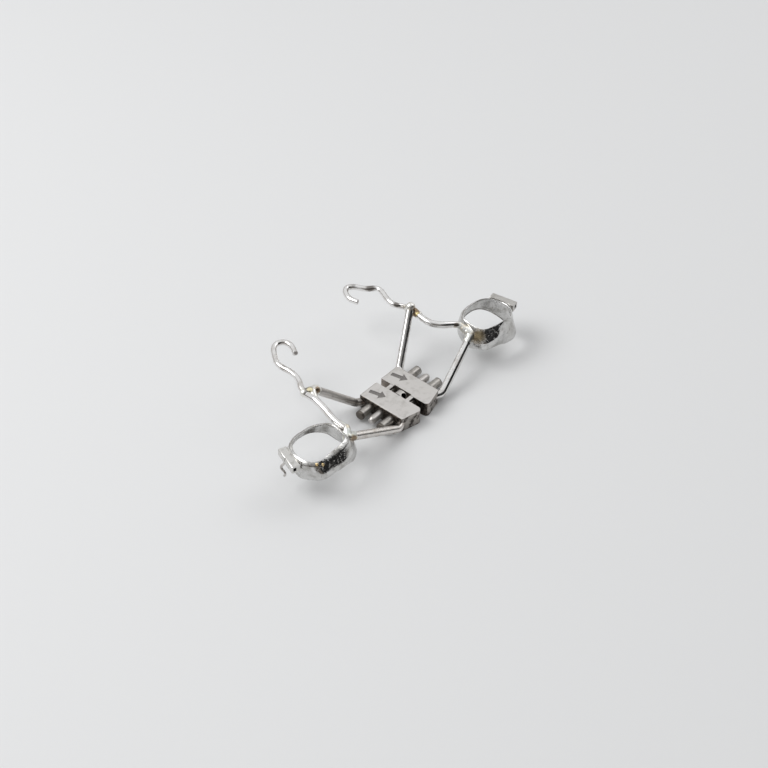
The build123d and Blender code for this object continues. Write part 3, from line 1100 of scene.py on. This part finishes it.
@dataclass
class MolarBand:
    """A molar band of thin sheet: level at the rim, flared below and scalloped at the lower edge."""

    side: Side
    across: float
    setback: float
    turn: float
    stains: tuple[Stain, ...]
    along: float = 7.6
    sheet: float = 0.2
    levels: tuple[float, ...] = (6.2, 5.4, 4.2, 1.9)
    flares: tuple[float, ...] = (0.0, 0.55, 0.8, 0.8)
    scallop_radius: float = 13.0
    scallop_rise: float = 1.3
    scallop_tilt: float = -12.0
    rim_roll: float = 0.42
    rim_roll_depth: float = 0.6
    front_roll: float = 0.5
    front_roll_depth: float = 0.34
    front_from_share: float = -0.15
    front_blend_share: float = 0.5
    edge_roll: float = 0.13
    edge_roll_depth: float = 0.45
    edge_round_share: float = 0.3
    distal_drops: tuple[float, float] = (0.0, 0.0)
    flare_gains: dict[int, tuple[float, float, float]] = field(default_factory=dict)
    dent: float = 0.05
    dents_per_mm: float = 0.7
    seed: float = 7.0
    columns: int = 112
    rows: int = 44

    # The rim's places as shares of the half sizes, then the shares of the flares
    RIM_SHARES = (
        ((-0.60, 0.88), (0.3, 0.2, 0.1)),
        ((-0.20, 1.00), (0.6, 0.5, 0.3)),
        ((0.27, 0.94), (0.8, 0.7, 0.4)),
        ((0.62, 0.78), (1.0, 0.9, 0.6)),
        ((0.92, 0.50), (1.0, 1.0, 0.9)),
        ((1.00, 0.05), (1.0, 1.1, 1.1)),
        ((0.95, -0.52), (1.0, 1.4, 1.9)),
        ((0.78, -0.85), (1.1, 1.6, 2.2)),
        ((0.33, -0.97), (1.0, 1.2, 1.0)),
        ((-0.22, -0.98), (0.9, 0.8, 0.5)),
        ((-0.62, -0.95), (0.7, 0.6, 0.2)),
        ((-0.91, -0.62), (0.5, 0.5, 0.2)),
        ((-1.00, -0.15), (0.4, 0.4, 0.3)),
        ((-0.89, 0.44), (0.3, 0.2, 0.1)),
    )

    def placing(self) -> Matrix:
        """The band's own frame in the row frame."""
        centre = Vector((self.side.value * ARCH.half_width, -self.setback, 0.0))
        return Matrix.Translation(centre) @ Matrix.Rotation(math.radians(self.turn), 4, "Z")

    def outline(self, level: int) -> list[Vector]:
        """The wall's corner points at one level, from the rim's points and the flares.

        Args:
            level: the level's index in the band's levels.

        Returns:
            The points round the wall.
        """
        flip = -self.side.value * self.across / 2
        rim = [Vector((u * flip, v * self.along / 2, 0.0)) for (u, v), _ in self.RIM_SHARES]
        points = []
        for index, point in enumerate(rim):
            gains = (0.0, *self.flare_gains.get(index, (1.0, 1.0, 1.0)))
            shares = (0.0, *self.RIM_SHARES[index][1])
            after = rim[(index + 1) % len(rim)]
            before = rim[index - 1]
            out = Vector((after.y - before.y, before.x - after.x, 0.0)).normalized()
            out = out if out.dot(point) > 0 else -out
            points.append(point + out * self.flares[level] * shares[level] * gains[level])
        return points

    def lowest(self, place: Vector) -> float:
        """The level of the scalloped lower edge, under an arch that falls to the rear.

        Args:
            place: a place on the wall.

        Returns:
            The lower edge's level there.
        """
        tilt = math.radians(self.scallop_tilt)
        centre = self.levels[-1] + self.scallop_rise - self.scallop_radius - place.y * math.tan(tilt)
        arch = math.sqrt(max(self.scallop_radius**2 - place.x**2, 0.0)) / math.cos(tilt)
        distal = clamp(-place.y / (self.along / 2))
        buccal = clamp(0.5 + place.x * self.side.value / self.across)
        palatal_drop, buccal_drop = self.distal_drops
        drop = distal * (palatal_drop + (buccal_drop - palatal_drop) * buccal)
        return max(self.levels[-1], centre + arch - drop)

    def turned_in(self, place: Vector, drop: float, depth: float) -> Vector:
        """How far the sheet's edges are turned inwards: at the rim, more sharply in front, and below.

        Args:
            place: a place on the wall.
            drop: how far it lies under the rim.
            depth: how deep the wall is there.

        Returns:
            The shift of the place.
        """
        front = clamp((place.y / (self.along / 2) - self.front_from_share) / self.front_blend_share)
        rear_roll = self.rim_roll * (1 - front) * clamp(1 - drop / self.rim_roll_depth) ** 2
        front_roll = self.front_roll * front * clamp(1 - drop / self.front_roll_depth) ** 2
        edge = self.edge_roll * clamp(1 - (depth - drop) / self.edge_roll_depth) ** 2
        return -Vector((place.x, place.y, 0.0)).normalized() * (rear_roll + front_roll + edge)

    def rings(self) -> list[list[Vector]]:
        """The wall's points, ring by ring.

        Returns:
            The rings from the rim to the scalloped edge.
        """
        lines = [closed_line(self.outline(level), self.columns) for level in range(len(self.levels))]
        rings = []
        for row in range(self.rows + 1):
            ring = []
            for column in range(self.columns):
                stack = [line[column] for line in lines]
                depth = self.levels[0] - self.lowest(stack[-1])
                drop = depth * row / self.rows
                place = smooth_between(self.levels, stack, self.levels[0] - drop)
                place += self.turned_in(place, drop, depth)
                ring.append(Vector((place.x, place.y, self.levels[0] - drop)))
            rings.append(ring)
        return rings

    def build(self) -> None:
        """Rolls the band's wall and gives it its thickness."""
        work = Workpiece()
        loops = [work.add_loop(ring) for ring in self.rings()]
        for upper, lower in zip(loops, loops[1:]):
            bmesh.ops.bridge_loops(work.mesh, edges=upper + lower)
        work.face_outwards()
        work.dent(self.dent, self.dents_per_mm, self.seed + self.side.value)
        bmesh.ops.solidify(work.mesh, geom=work.mesh.faces[:], thickness=self.sheet)
        work.soften(self.sheet * self.edge_round_share, degrees=50.0, segments=3)
        bmesh.ops.transform(work.mesh, matrix=self.placing(), verts=work.mesh.verts)
        steel = PolishedSteel(
            self.side.prefix + "_band_polished_steel",
            colour=(0.66, 0.655, 0.645),
            shade=(0.44, 0.43, 0.41),
            roughness=0.06,
            wave=0.07,
            ripple=0.012,
            scuff=0.45,
            stains=self.stains,
        )
        node = self.side.prefix + "_molar_band"
        work.finish(node, self.side.body, Slot.BAND, [steel.material()], sharp=50.0)


# What rounding may leave between a level and a knot
LEVEL_SLACK = 1e-9


def clamp(value: float) -> float:
    """The value, held between 0 and 1."""
    return min(max(value, 0.0), 1.0)


def closed_line(points: Sequence[Vector], samples: int) -> list[Vector]:
    """Evenly numbered places on a smooth closed line through the points.

    Args:
        points: the points that the line passes through.
        samples: how many places to give.

    Returns:
        The places, from the first point round to the last.
    """
    count = len(points)
    places = []
    for sample in range(samples):
        whole, share = divmod(sample * count / samples, 1.0)
        index = int(whole)
        a, b, c, d = (points[(index + step) % count] for step in (-1, 0, 1, 2))
        square, cube = share * share, share**3
        bend = (2 * a - 5 * b + 4 * c - d) * square + (3 * b - 3 * c + d - a) * cube
        places.append((2 * b + (c - a) * share + bend) * 0.5)
    return places


def smooth_between(knots: Sequence[float], values: Sequence[Vector], at: float) -> Vector:
    """A value on a smooth line through values given at falling knots.

    Args:
        knots: the levels of the values, from high to low.
        values: the values at these levels.
        at: the level to look up.

    Returns:
        The value there.
    """
    slopes = []
    for index in range(len(knots)):
        low, high = max(index - 1, 0), min(index + 1, len(knots) - 1)
        slopes.append((values[high] - values[low]) / (knots[high] - knots[low]))
    index = max(i for i in range(len(knots) - 1) if at <= knots[i] + LEVEL_SLACK)
    span = knots[index + 1] - knots[index]
    t = (at - knots[index]) / span
    value = values[index] * (2 * t**3 - 3 * t**2 + 1) + values[index + 1] * (3 * t**2 - 2 * t**3)
    rise = slopes[index] * (t**3 - 2 * t**2 + t) + slopes[index + 1] * (t**3 - t**2)
    return value + rise * span


# Tubes, pads and hooks


@dataclass
class BuccalTube:
    """One side's buccal tube with its welded pad and thin hook."""

    side: Side
    hook_foot: tuple[float, float]
    # The tube's colour, lighter on the right and darker on the left as painted light and shade.
    colour: Colour
    edge_round: float = 0.05
    hook_diameter: float = 0.42

    # The hook's bends: outwards, to the front, and up
    HOOK_BENDS = (
        (0.0, 0.78, 4.75),
        (0.25, 0.80, 4.1),
        (0.45, 1.22, 3.65),
        (0.50, 1.12, 3.1),
        (0.50, 0.45, 2.85),
        (0.50, 0.15, 2.4),
        (0.55, 0.45, 1.9),
    )

    def hook_route(self) -> list[Vector]:
        """The control points of the thin hook, from the tube down.

        Returns:
            The points.
        """
        x, y = self.hook_foot
        sign = self.side.value
        return [Vector((x + sign * out, y + forward, up)) for out, forward, up in self.HOOK_BENDS]

    def build(self) -> None:
        """Dresses the tube and its pad, and bends its hook."""
        prefix, body = self.side.prefix, self.side.body
        satin = SatinSteel(
            prefix + "_tube_satin_steel",
            colour=self.colour,
            shade=(0.40, 0.385, 0.36),
            roughness=0.18,
            stretch=(1.0, 0.2, 1.0),
        ).material()
        bright = PolishedSteel(prefix + "_hook_polished_steel", colour=(0.42, 0.40, 0.38)).material()
        for node in (prefix + "_buccal_tube", prefix + "_tube_base"):
            work = Workpiece.of_node(node)
            work.soften(self.edge_round, degrees=40.0)
            work.finish(node, body, Slot.TUBE, [satin], sharp=40.0)
        work = bent_rod(self.hook_route(), self.hook_diameter)
        work.finish(prefix + "_tube_hook", body, Slot.TUBE, [bright], ROD_SHARP)


# Solder


@dataclass(frozen=True)
class Run:
    """A run of beads of solder between two places, with its first and its last radius."""

    start: Vector
    end: Vector
    first_radius: float
    last_radius: float


@dataclass
class SolderJoint:
    """A solder joint: beads of solder drawn out along the rods that it holds."""

    node: str
    side: Side
    finish: SilverSolder
    runs: Sequence[Run]
    voxel: float = 0.085
    beads: int = 7
    bead_detail: int = 3
    dent: float = 0.06
    dents_per_mm: float = 1.3
    seed: float = 2.0

    def build(self) -> None:
        """Melts the runs of beads into one smooth body."""
        work = Workpiece()
        for run in self.runs:
            for bead in range(self.beads):
                share = bead / (self.beads - 1)
                place = Matrix.Translation(run.start.lerp(run.end, share))
                radius = run.first_radius + (run.last_radius - run.first_radius) * share
                bmesh.ops.create_icosphere(
                    work.mesh, subdivisions=self.bead_detail, radius=radius, matrix=place
                )
        work.melt(self.voxel)
        work.dent(self.dent, self.dents_per_mm, self.seed * self.side.value)
        work.finish(self.node, self.side.body, Slot.SOLDER, [self.finish.material()], sharp=80.0)


# The studio


@dataclass(frozen=True)
class Flag:
    """A round part of the room in one colour, as a cloth or a bright sheet hung up beside the object."""

    towards: Place
    reach: float
    colour: Colour
    strength: float
    softness: float


@dataclass(frozen=True)
class Lamp:
    """A square soft light that faces the object: its place and side in millimetres, its power in watts."""

    name: str
    place: Place
    side: float
    power: float


@dataclass
class Studio:
    """A pale floor, soft light and the camera at the photograph's angle."""

    floor_level: float = -1.45
    floor_half: float = 900.0
    floor_colour: Colour = (0.75, 0.755, 0.76)
    fibre_colour: Colour = (0.70, 0.69, 0.68)
    fibre_share: float = 0.06
    floor_roughness: float = 0.85
    backdrop: Colour = (0.93, 0.93, 0.93)
    horizon: Colour = (0.34, 0.325, 0.31)
    horizon_top: float = 0.5
    sky: Colour = (0.82, 0.825, 0.83)
    clutter_share: float = 0.35
    flags: tuple[Flag, ...] = (
        Flag((-0.95, 0.15, 0.08), 22.0, (0.16, 0.15, 0.14), 0.75, 8.0),
        Flag((-0.579, -0.453, 0.678), 24.0, (0.20, 0.195, 0.19), 0.8, 8.0),
        Flag((-0.646, -0.77, 0.05), 34.0, (0.09, 0.075, 0.06), 0.9, 6.0),
        Flag((0.15, -0.85, 0.46), 33.0, (0.02, 0.02, 0.02), 1.0, 3.0),
        Flag((0.40, -0.91, 0.05), 30.0, (0.02, 0.02, 0.02), 1.0, 3.0),
    )
    lamps: tuple[Lamp, ...] = (
        Lamp("key_softbox", (-220.0, 260.0, 380.0), 300.0, 1.25),
        Lamp("fill_softbox", (330.0, -60.0, 300.0), 240.0, 0.2),
    )
    camera_place: Place = (-172.82, -135.13, 202.53)
    camera_right: Place = (0.64367, -0.76489, 0.02508)
    camera_up: Place = (0.50274, 0.44732, 0.73970)
    lens: float = 79.52
    sensor: float = 36.0
    nearest: float = 10.0

    FIBRES = Grain(0.6)
    CLUTTER = Grain(11.0, 2.0)
    CLUTTER_EDGE = (0.58, 0.64)

    def build_floor(self) -> None:
        """Lays the floor under the housings."""
        mesh = bmesh.new()
        place = Matrix.Translation((0, 0, self.floor_level * MM))
        bmesh.ops.create_grid(mesh, x_segments=2, y_segments=2, size=self.floor_half * MM, matrix=place)
        data = bpy.data.meshes.new("studio_floor")
        mesh.to_mesh(data)
        mesh.free()
        recipe = Recipe("floor_paper")
        fibres = recipe.grain(self.FIBRES) * self.fibre_share
        colour = recipe.blend(fibres, self.floor_colour, self.fibre_colour)
        data.materials.append(recipe.shader(None, Base_Color=colour, Roughness=self.floor_roughness))
        floor = bpy.data.objects.new("studio_floor", data)
        bpy.context.scene.collection.objects.link(floor)

    def build_world(self) -> None:
        """Surrounds the object with a soft room: a bright sky, and dark cloths on the camera's side."""
        world = bpy.data.worlds.new("studio_room")
        world.use_nodes = True
        bpy.context.scene.world = world
        recipe = Recipe.of_tree(world.node_tree)
        way = recipe.node("ShaderNodeTexCoord", {}, {}, "Generated")
        _, _, up = recipe.parts(way)
        room = recipe.blend(up.between(0.0, self.horizon_top), self.horizon, self.sky)
        clutter = recipe.grain(self.CLUTTER, way).between(*self.CLUTTER_EDGE)
        for flag in self.flags:
            values = {0: way, 1: Vector(flag.towards).normalized()}
            facing = recipe.node("ShaderNodeVectorMath", {"operation": "DOT_PRODUCT"}, values, "Value")
            inner = math.cos(math.radians(flag.reach - flag.softness))
            outer = math.cos(math.radians(flag.reach + flag.softness))
            mask = facing.between(outer, inner) * (1 - clutter * self.clutter_share) * flag.strength
            room = recipe.blend(mask, room, flag.colour)
        seen = recipe.node("ShaderNodeLightPath", {}, {}, "Is Camera Ray")
        colour = recipe.blend(seen, room, self.backdrop)
        back = recipe.node("ShaderNodeBackground", {}, {"Color": colour, "Strength": 1.0})
        output = recipe.tree.nodes.new("ShaderNodeOutputWorld")
        recipe.tree.links.new(back.socket, output.inputs["Surface"])

    def hang(self, lamp: Lamp) -> None:
        """Hangs a lamp.

        Args:
            lamp: what it is like.
        """
        light = bpy.data.lights.new(lamp.name, "AREA")
        light.size = lamp.side * MM
        light.energy = lamp.power
        holder = bpy.data.objects.new(lamp.name, light)
        holder.location = Vector(lamp.place) * MM
        holder.rotation_mode = "QUATERNION"
        holder.rotation_quaternion = (-holder.location).to_track_quat("-Z", "Y")
        bpy.context.scene.collection.objects.link(holder)

    def build_camera(self) -> None:
        """Sets up the camera where the photograph was taken from."""
        data = bpy.data.cameras.new("photograph_camera")
        data.lens = self.lens
        data.sensor_width = self.sensor
        data.clip_start = self.nearest * MM
        holder = bpy.data.objects.new("photograph_camera", data)
        right, up = Vector(self.camera_right), Vector(self.camera_up)
        turn = Matrix((right, up, right.cross(up).normalized())).transposed()
        holder.matrix_world = Matrix.Translation(Vector(self.camera_place) * MM) @ turn.to_4x4()
        bpy.context.scene.collection.objects.link(holder)
        bpy.context.scene.camera = holder

    def build(self) -> None:
        """Sets up the whole studio."""
        self.build_floor()
        self.build_world()
        for lamp in self.lamps:
            self.hang(lamp)
        self.build_camera()
        bpy.context.scene.view_settings.view_transform = "Standard"


# The whole object

GOLD = (0.80, 0.68, 0.36)
WARM_GOLD = (0.88, 0.66, 0.33)
BROWN = (0.24, 0.16, 0.09)
BURNT = (0.08, 0.06, 0.045)
# Painted shade: laid under the right front arm's elbow and on the right band's front wall.
PAINTED_SHADE_DARK = (0.10, 0.09, 0.08)
SMOKE = (0.19, 0.17, 0.155)

WIRE_STAINS = {
    Side.RIGHT: (
        Stain((-16.9, -2.4, 5.0), 1.0),
        Stain((-9.35, 16.1, 7.2), 0.6, SMOKE, 0.9),
        Stain((-13.8, 15.1, 7.4), 0.7, SMOKE, 0.5),
    ),
    Side.LEFT: (
        Stain((13.6, 9.2, 7.0), 1.2),
        Stain((17.2, -0.8, 5.0), 0.9),
        Stain((8.6, 17.1, 7.2), 0.5, SMOKE, 0.9),
        Stain((11.3, 20.7, 7.4), 0.6, SMOKE, 0.5),
        Stain((12.9, 18.0, 7.4), 1.1, SMOKE, 0.9),
        Stain((12.4, 11.4, 7.5), 0.8, SMOKE, 0.9),
        Stain((16.3, 0.6, 6.4), 0.7, SMOKE, 0.95),
    ),
}

BAND_STAINS = {
    Side.RIGHT: (
        Stain((-16.9, -3.0, 4.6), 1.4, (0.35, 0.25, 0.15), 0.6),
        # Painted shade on the band's front wall.
        Stain((-20.4, 2.9, 4.3), 1.5, PAINTED_SHADE_DARK, 0.75),
        Stain((-26.4, -4.05, 5.85), 0.4, WARM_GOLD, 1.0),
        Stain((-25.6, -4.6, 5.6), 0.4, WARM_GOLD, 1.0),
    ),
    Side.LEFT: (
        Stain((18.0, -3.4, 4.8), 1.9, (0.22, 0.17, 0.09), 0.9),
        Stain((17.8, -3.2, 3.9), 1.0, (0.75, 0.52, 0.30), 0.7),
        Stain((24.9, -5.4, 4.0), 2.4, (0.50, 0.49, 0.47), 0.6),
    ),
}

# How much more or less than usual a band's wall flares at some of the rim's places, level by level
FLARE_GAINS = {
    Side.RIGHT: {
        6: (1.0, 1.45, 1.4),
        7: (0.8, 0.9, 0.9),
        8: (1.0, 1.55, 1.5),
        9: (1.1, 2.15, 2.5),
        10: (1.15, 2.4, 4.0),
    },
    Side.LEFT: {
        4: (0.6, 0.8, 1.0),
        5: (0.5, 0.8, 1.0),
        6: (0.8, 1.0, 1.0),
        7: (1.0, 1.3, 1.2),
        8: (1.0, 1.3, 1.3),
        9: (0.3, 0.65, 2.0),
        10: (0.26, 0.65, 5.6),
        11: (0.36, 0.75, 6.9),
    },
}


@dataclass(frozen=True)
class FrontSolder:
    """How a side's front joint is soldered: its knot on the wire, the points beside it and a last run."""

    finish: SilverSolder
    knot: int
    beside: tuple[int, int]
    last_run: Run

    KNOT_RADIUS = 0.68
    SHOULDER_RADIUS = 0.74
    TIP_RADIUS = 0.92
    TAIL_RADIUS = 0.70
    THIN_RADIUS = 0.5
    TAIL = 0.9
    BESIDE_SHARE = 0.95

    def joint(self, work: Framework) -> SolderJoint:
        """The joint between a side's front arm and its palatal wire.

        Args:
            work: the side's arms and wire.

        Returns:
            The joint, ready to build.
        """
        knot, before, after = (
            ARCH.spot(work.side, WIRE_SHARES[work.side][index]) for index in (self.knot, *self.beside)
        )
        tip = work.tips[End.FRONT]
        tail = tip + work.way_back(End.FRONT) * self.TAIL
        runs = [
            Run(knot, knot.lerp(before, self.BESIDE_SHARE), self.KNOT_RADIUS, self.THIN_RADIUS),
            Run(knot, knot.lerp(after, self.BESIDE_SHARE), self.KNOT_RADIUS, self.THIN_RADIUS),
            Run(knot, tip, self.SHOULDER_RADIUS, self.TIP_RADIUS),
            Run(tip, tail, self.TIP_RADIUS, self.TAIL_RADIUS),
            self.last_run,
        ]
        return SolderJoint(work.side.prefix + "_front_solder", work.side, self.finish, runs)


@dataclass(frozen=True)
class BandSolder:
    """How a side's rear arm and wire are soldered to its band, with any splashes of solder beside."""

    finish: SilverSolder
    wire_end: Vector
    along_wire: Vector
    splashes: tuple[Vector, ...] = ()

    WIRE_RADIUS = 0.60
    TIP_RADIUS = 0.92
    TAIL_RADIUS = 0.72
    THIN_RADIUS = 0.5
    SPLASH_RADIUS = 0.3
    TAIL = 2.4

    def joint(self, work: Framework) -> SolderJoint:
        """The joint of a side's rear arm, wire and band.

        Args:
            work: the side's arms and wire.

        Returns:
            The joint, ready to build.
        """
        tip = work.tips[End.REAR]
        tail = tip + work.way_back(End.REAR) * self.TAIL
        runs = [
            Run(self.wire_end, self.along_wire, self.WIRE_RADIUS, self.THIN_RADIUS),
            Run(self.wire_end, tip, self.WIRE_RADIUS, self.TIP_RADIUS),
            Run(tip, tail, self.TIP_RADIUS, self.TAIL_RADIUS),
        ]
        runs += [Run(spot, spot, self.SPLASH_RADIUS, self.SPLASH_RADIUS) for spot in self.splashes]
        return SolderJoint(work.side.prefix + "_band_solder", work.side, self.finish, runs)


FRONT_SOLDER = {
    Side.RIGHT: FrontSolder(
        SilverSolder(
            "right_front_solder_silver",
            warm_share=0.1,
            stains=(
                Stain((-14.95, 8.0, 7.65), 1.0, BURNT, 0.75),
                Stain((-14.85, 7.85, 7.7), 0.7, (0.86, 0.78, 0.52), 1.0),
                Stain((-13.7, 7.3, 6.9), 0.7, BROWN, 0.95),
            ),
        ),
        knot=14,
        beside=(13, 15),
        last_run=Run(Vector((-14.4, 7.9, 6.6)), Vector((-15.2, 6.3, 6.4)), 0.86, 0.55),
    ),
    Side.LEFT: FrontSolder(
        SilverSolder(
            "left_front_solder_olive",
            stains=(Stain((13.3, 7.9, 7.1), 1.2, BROWN, 0.95), Stain((13.3, 7.2, 6.95), 0.45, GOLD, 1.0)),
        ),
        knot=17,
        beside=(16, 18),
        last_run=Run(Vector((13.75, 8.9, 6.65)), Vector((13.75, 7.3, 6.4)), 0.85, 0.72),
    ),
}

BAND_SOLDER = {
    Side.RIGHT: BandSolder(
        SilverSolder(
            "right_band_solder_pale",
            (0.78, 0.80, 0.76),
            warm_share=0.2,
            stains=(
                Stain((-16.8, -4.0, 4.5), 1.1, BROWN, 0.9),
                Stain((-26.0, -4.3, 5.7), 1.2, (0.88, 0.68, 0.36), 1.0),
            ),
        ),
        wire_end=Vector((-16.4, -1.7, 5.67)),
        along_wire=Vector((-16.45, 0.2, 5.86)),
        splashes=(Vector((-26.35, -3.95, 5.85)), Vector((-25.55, -4.5, 5.6))),
    ),
    Side.LEFT: BandSolder(
        SilverSolder(
            "left_band_solder_beige",
            (0.72, 0.72, 0.69),
            (0.66, 0.60, 0.50),
            warm_share=0.35,
            stains=(Stain((17.9, -3.2, 4.2), 0.8, BROWN, 0.8), Stain((16.3, 0.6, 6.4), 0.75, BURNT, 0.9)),
        ),
        wire_end=Vector((17.15, 0.62, 5.67)),
        along_wire=Vector((15.7, 1.75, 5.95)),
    ),
}


def frameworks() -> list[Framework]:
    """The arms and wires of both sides.

    Returns:
        The right side's and the left side's, ready to build.
    """
    # Painted shade: the right front arm gets a darker colour than the other arms, and dark patches under
    # its elbow and where it meets the housing.
    right_front = SatinSteel(
        "right_front_arm_satin_steel",
        (0.58, 0.555, 0.53),
        (0.38, 0.36, 0.335),
        roughness=0.20,
        stretch=(0.12, 1.0, 1.0),
        stains=(
            Stain((-13.5, 7.2, 6.8), 0.75, (0.20, 0.12, 0.07), 0.95),
            # Painted shade under the elbow.
            Stain((-7.0, 4.8, -0.2), 1.1, PAINTED_SHADE_DARK, 0.9),
            # Painted shade where the arm meets the housing.
            Stain((-5.3, 4.0, 0.3), 0.8, (0.12, 0.09, 0.075), 0.9),
        ),
    )
    right_rear = PolishedSteel(
        "right_rear_arm_polished_steel",
        (0.74, 0.71, 0.68),
        (0.58, 0.54, 0.50),
        roughness=0.20,
        stains=(
            # Painted shadow: a near-black spot at the arm's root, by the housing's rear face.
            Stain((-4.72, -4.4, 0.6), 0.5, (0.05, 0.045, 0.04), 0.95),
            Stain((-16.4, -3.2, 4.9), 0.8, BROWN, 0.8),
        ),
    )
    left_front = PolishedSteel("left_front_arm_polished_steel", roughness=0.05, spread=0.08)
    right_tips = {End.FRONT: Vector((-13.552, 7.76, 6.4965)), End.REAR: Vector((-17.25, -2.72, 4.70))}
    left_tips = {End.FRONT: Vector((13.234, 8.86, 7.7035)), End.REAR: Vector((17.45, -1.88, 4.60))}
    return [
        Framework(Side.RIGHT, 4.6575, right_tips, WIRE_STAINS[Side.RIGHT], right_front, right_rear),
        Framework(Side.LEFT, 4.3925, left_tips, WIRE_STAINS[Side.LEFT], left_front),
    ]


def bands() -> list[MolarBand]:
    """The molar bands of both sides.

    Returns:
        The right one and the left one, ready to build.
    """
    right = MolarBand(
        Side.RIGHT,
        across=10.1,
        setback=0.67,
        turn=0.0,
        stains=BAND_STAINS[Side.RIGHT],
        levels=(6.2, 5.4, 3.9, 1.9),
        distal_drops=(0.0, -0.7),
        flare_gains=FLARE_GAINS[Side.RIGHT],
    )
    left = MolarBand(
        Side.LEFT,
        across=9.1,
        setback=1.3,
        turn=-10.0,
        stains=BAND_STAINS[Side.LEFT],
        rim_roll=0.08,
        front_roll=0.3,
        levels=(6.2, 5.4, 4.2, 1.2),
        distal_drops=(-2.0, 2.4),
        flare_gains=FLARE_GAINS[Side.LEFT],
    )
    return [right, left]


def main() -> None:
    """Builds the object and the studio."""
    logging.basicConfig(level=logging.INFO, format="%(name)s: %(message)s")
    Screw().build()
    works = frameworks()
    for sub_assembly in (*works, *bands()):
        sub_assembly.build()
    # Painted light and shade: the right tube gets a lighter colour than the left one.
    BuccalTube(Side.RIGHT, (-28.4, 0.52), (0.70, 0.69, 0.665)).build()
    BuccalTube(Side.LEFT, (28.1, -1.19), (0.56, 0.545, 0.52)).build()
    for work in works:
        FRONT_SOLDER[work.side].joint(work).build()
        BAND_SOLDER[work.side].joint(work).build()
    Studio().build()


if __name__ == "__main__":
    main()
